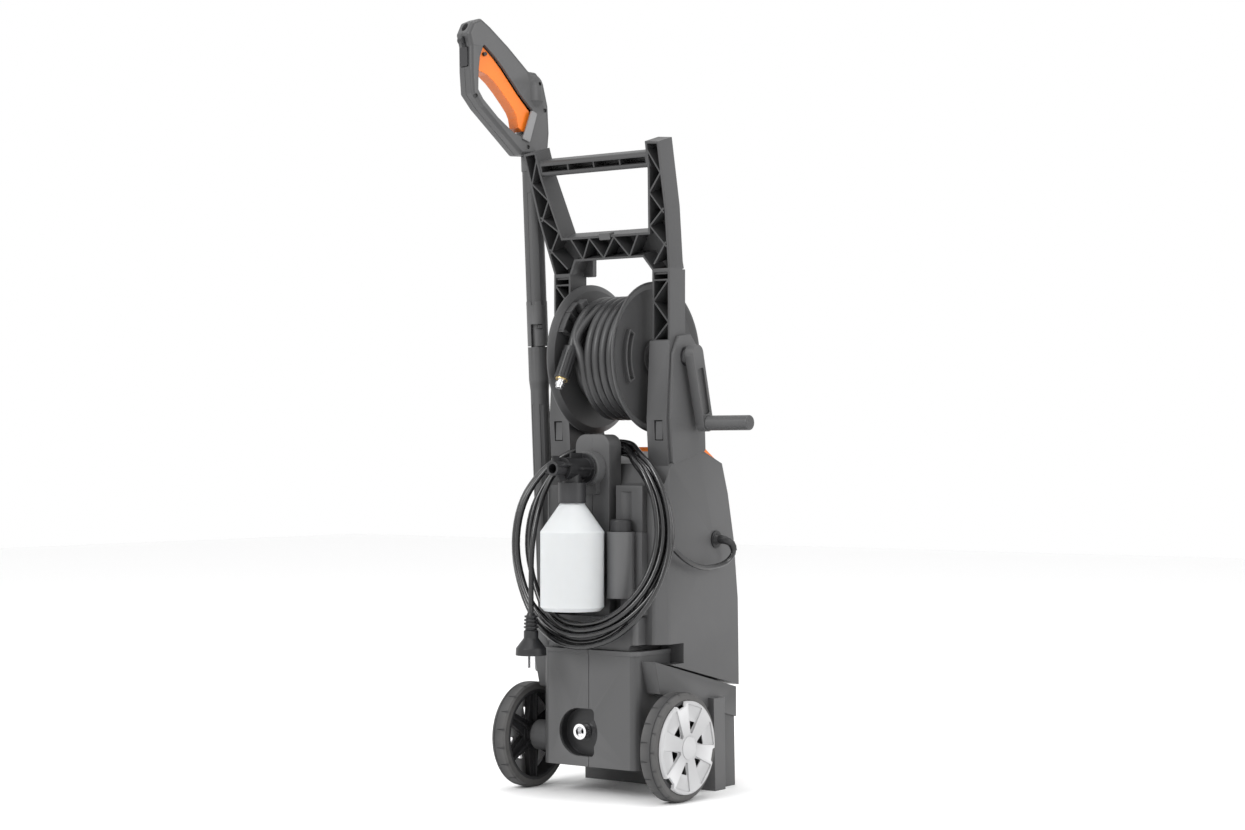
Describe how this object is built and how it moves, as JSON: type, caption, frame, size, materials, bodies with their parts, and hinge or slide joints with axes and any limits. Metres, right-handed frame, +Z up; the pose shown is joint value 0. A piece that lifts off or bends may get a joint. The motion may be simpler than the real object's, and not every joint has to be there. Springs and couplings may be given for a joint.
{
  "type": "pressure washer",
  "caption": "Upright electric pressure washer on a wheeled stand, with a crank hose reel, a parked spray gun and lance, a detergent bottle and a coiled supply cord.",
  "frame": {"origin": "centre of the ground outline of the machine without its supply cord, on the ground", "axes": "+Z up; +Y to the rear, where the bottle, the reel opening and the cord are; +X to the side with the gun and lance, the crank is on -X"},
  "size_m": [0.348, 0.3098, 1.012],
  "materials": {
    "body_plastic": "fine moulded texture",
    "orange_plastic": "satin",
    "black_plastic": "satin",
    "light_grey_plastic": "satin paint",
    "tyre": "matt",
    "steel": "bright plated",
    "brass": "turned",
    "hose_rubber": "satin",
    "cord_rubber": "glossy sheath",
    "bottle_plastic": "translucent",
    "cast_aluminium": "cast"
  },
  "bodies": {
    "chassis": {"axle": "steel", "axle_clips": "steel", "base_left": "body_plastic", "base_right": "body_plastic", "bottle_holder": "body_plastic", "cord_coil": "cord_rubber", "cord_gland": "black_plastic", "cord_run": "cord_rubber", "cord_tail": "cord_rubber", "front_cover": "orange_plastic", "handle_frame": "body_plastic", "housing_left": "body_plastic", "housing_right": "body_plastic", "inlet_cup": "black_plastic", "inlet_tube": "steel", "lance_holder": "body_plastic", "motor_can": "cast_aluminium", "outlet_pipe": "hose_rubber", "plug_body": "black_plastic", "plug_pins": "steel", "pump_body": "cast_aluminium", "pump_head": "cast_aluminium", "reel_bushes": "black_plastic", "reel_swivel": "brass"},
    "wheel_left": {"tyre_left": "tyre", "rim_left": "black_plastic", "hubcap_left": "light_grey_plastic"},
    "wheel_right": {"tyre_right": "tyre", "rim_right": "black_plastic", "hubcap_right": "light_grey_plastic"},
    "reel": {"flange_left": "body_plastic", "flange_right": "body_plastic", "reel_drum": "black_plastic", "hose_winding": "hose_rubber", "hose_sleeve": "black_plastic", "hose_nut": "brass", "hose_nipple": "steel", "reel_spindle": "steel", "crank_arm": "body_plastic", "crank_pin": "steel"},
    "crank_grip": {"crank_grip": "body_plastic"},
    "gun": {"gun_shell_left": "body_plastic", "gun_shell_right": "body_plastic", "trigger_pin": "steel", "gun_valve": "brass", "gun_screws": "steel", "lance_upper": "body_plastic"},
    "lance_lower": {"lance_lower": "body_plastic"},
    "lance_nozzle": {"lance_nozzle": "black_plastic"},
    "trigger": {"trigger": "orange_plastic"},
    "trigger_lock": {"trigger_lock": "black_plastic"},
    "release_button": {"release_button": "black_plastic"},
    "bottle_unit": {"bottle": "bottle_plastic", "bottle_cap": "black_plastic"},
    "bottle_nozzle": {"bottle_nozzle": "black_plastic"},
    "spare_nozzle_left": {"spare_nozzle_left": "black_plastic"},
    "spare_nozzle_right": {"spare_nozzle_right": "black_plastic"},
    "switch_knob": {"switch_knob": "black_plastic"},
    "rotor": {"motor_rotor": "steel", "motor_fan": "black_plastic"}
  },
  "joints": [
    {"name": "wheel_left_spin", "type": "hinge", "parent": "chassis", "child": "wheel_left", "pos_m": [0.12997, 0.04408, 0.0697], "axis": [1, 0, 0], "continuous": true},
    {"name": "wheel_right_spin", "type": "hinge", "parent": "chassis", "child": "wheel_right", "pos_m": [-0.11003, 0.04408, 0.0697], "axis": [1, 0, 0], "continuous": true},
    {"name": "reel_spin", "type": "hinge", "parent": "chassis", "child": "reel", "pos_m": [0.00997, -0.00412, 0.5687], "axis": [1, 0, 0], "continuous": true},
    {"name": "crank_grip_spin", "type": "hinge", "parent": "reel", "child": "crank_grip", "pos_m": [-0.14003, -0.02715, 0.48273], "axis": [1, 0, 0], "continuous": true},
    {"name": "gun_lift", "type": "slide", "parent": "chassis", "child": "gun", "axis": [0, 0.0558, 0.9984], "range_m": [0, 0.12]},
    {"name": "lance_twist", "type": "hinge", "parent": "gun", "child": "lance_lower", "pos_m": [0.13447, 0.02197, 0.58733], "axis": [0, 0.0558, 0.9984], "range_deg": [-45, 0]},
    {"name": "lance_nozzle_turn", "type": "hinge", "parent": "lance_lower", "child": "lance_nozzle", "pos_m": [0.13447, -0.00136, 0.16998], "axis": [0, 0.0558, 0.9984], "range_deg": [0, 90]},
    {"name": "trigger_pull", "type": "hinge", "parent": "gun", "child": "trigger", "pos_m": [0.15407, 0.12188, 0.96635], "axis": [-0.9703, 0.2415, -0.0135], "range_deg": [0, 7], "stiffness_Nm_per_rad": 0.6, "springref_deg": -17.19},
    {"name": "trigger_lock_turn", "type": "hinge", "parent": "gun", "child": "trigger_lock", "pos_m": [0.13955, 0.05769, 0.86127], "axis": [-0.9703, 0.2415, -0.0135], "range_deg": [0, 20]},
    {"name": "release_button_press", "type": "slide", "parent": "gun", "child": "release_button", "axis": [-0.2419, -0.9688, 0.0542], "range_m": [0, 0.003], "stiffness_N_per_m": 400, "springref_m": -0.002},
    {"name": "bottle_pull", "type": "slide", "parent": "chassis", "child": "bottle_unit", "axis": [0, 1, 0], "range_m": [0, 0.05]},
    {"name": "bottle_nozzle_turn", "type": "hinge", "parent": "bottle_unit", "child": "bottle_nozzle", "pos_m": [0.00997, 0.13608, 0.424], "axis": [0, 1, 0], "range_deg": [0, 90]},
    {"name": "spare_nozzle_left_lift", "type": "slide", "parent": "chassis", "child": "spare_nozzle_left", "axis": [0, 0, 1], "range_m": [0, 0.03]},
    {"name": "spare_nozzle_right_lift", "type": "slide", "parent": "chassis", "child": "spare_nozzle_right", "axis": [0, 0, 1], "range_m": [0, 0.03]},
    {"name": "switch_turn", "type": "hinge", "parent": "chassis", "child": "switch_knob", "pos_m": [0.00997, -0.14592, 0.3], "axis": [0, -1, 0], "range_deg": [0, 90]},
    {"name": "motor_spin", "type": "hinge", "parent": "chassis", "child": "rotor", "pos_m": [0.00997, -0.03592, 0.2], "axis": [0, 0, 1], "continuous": true}
  ]
}
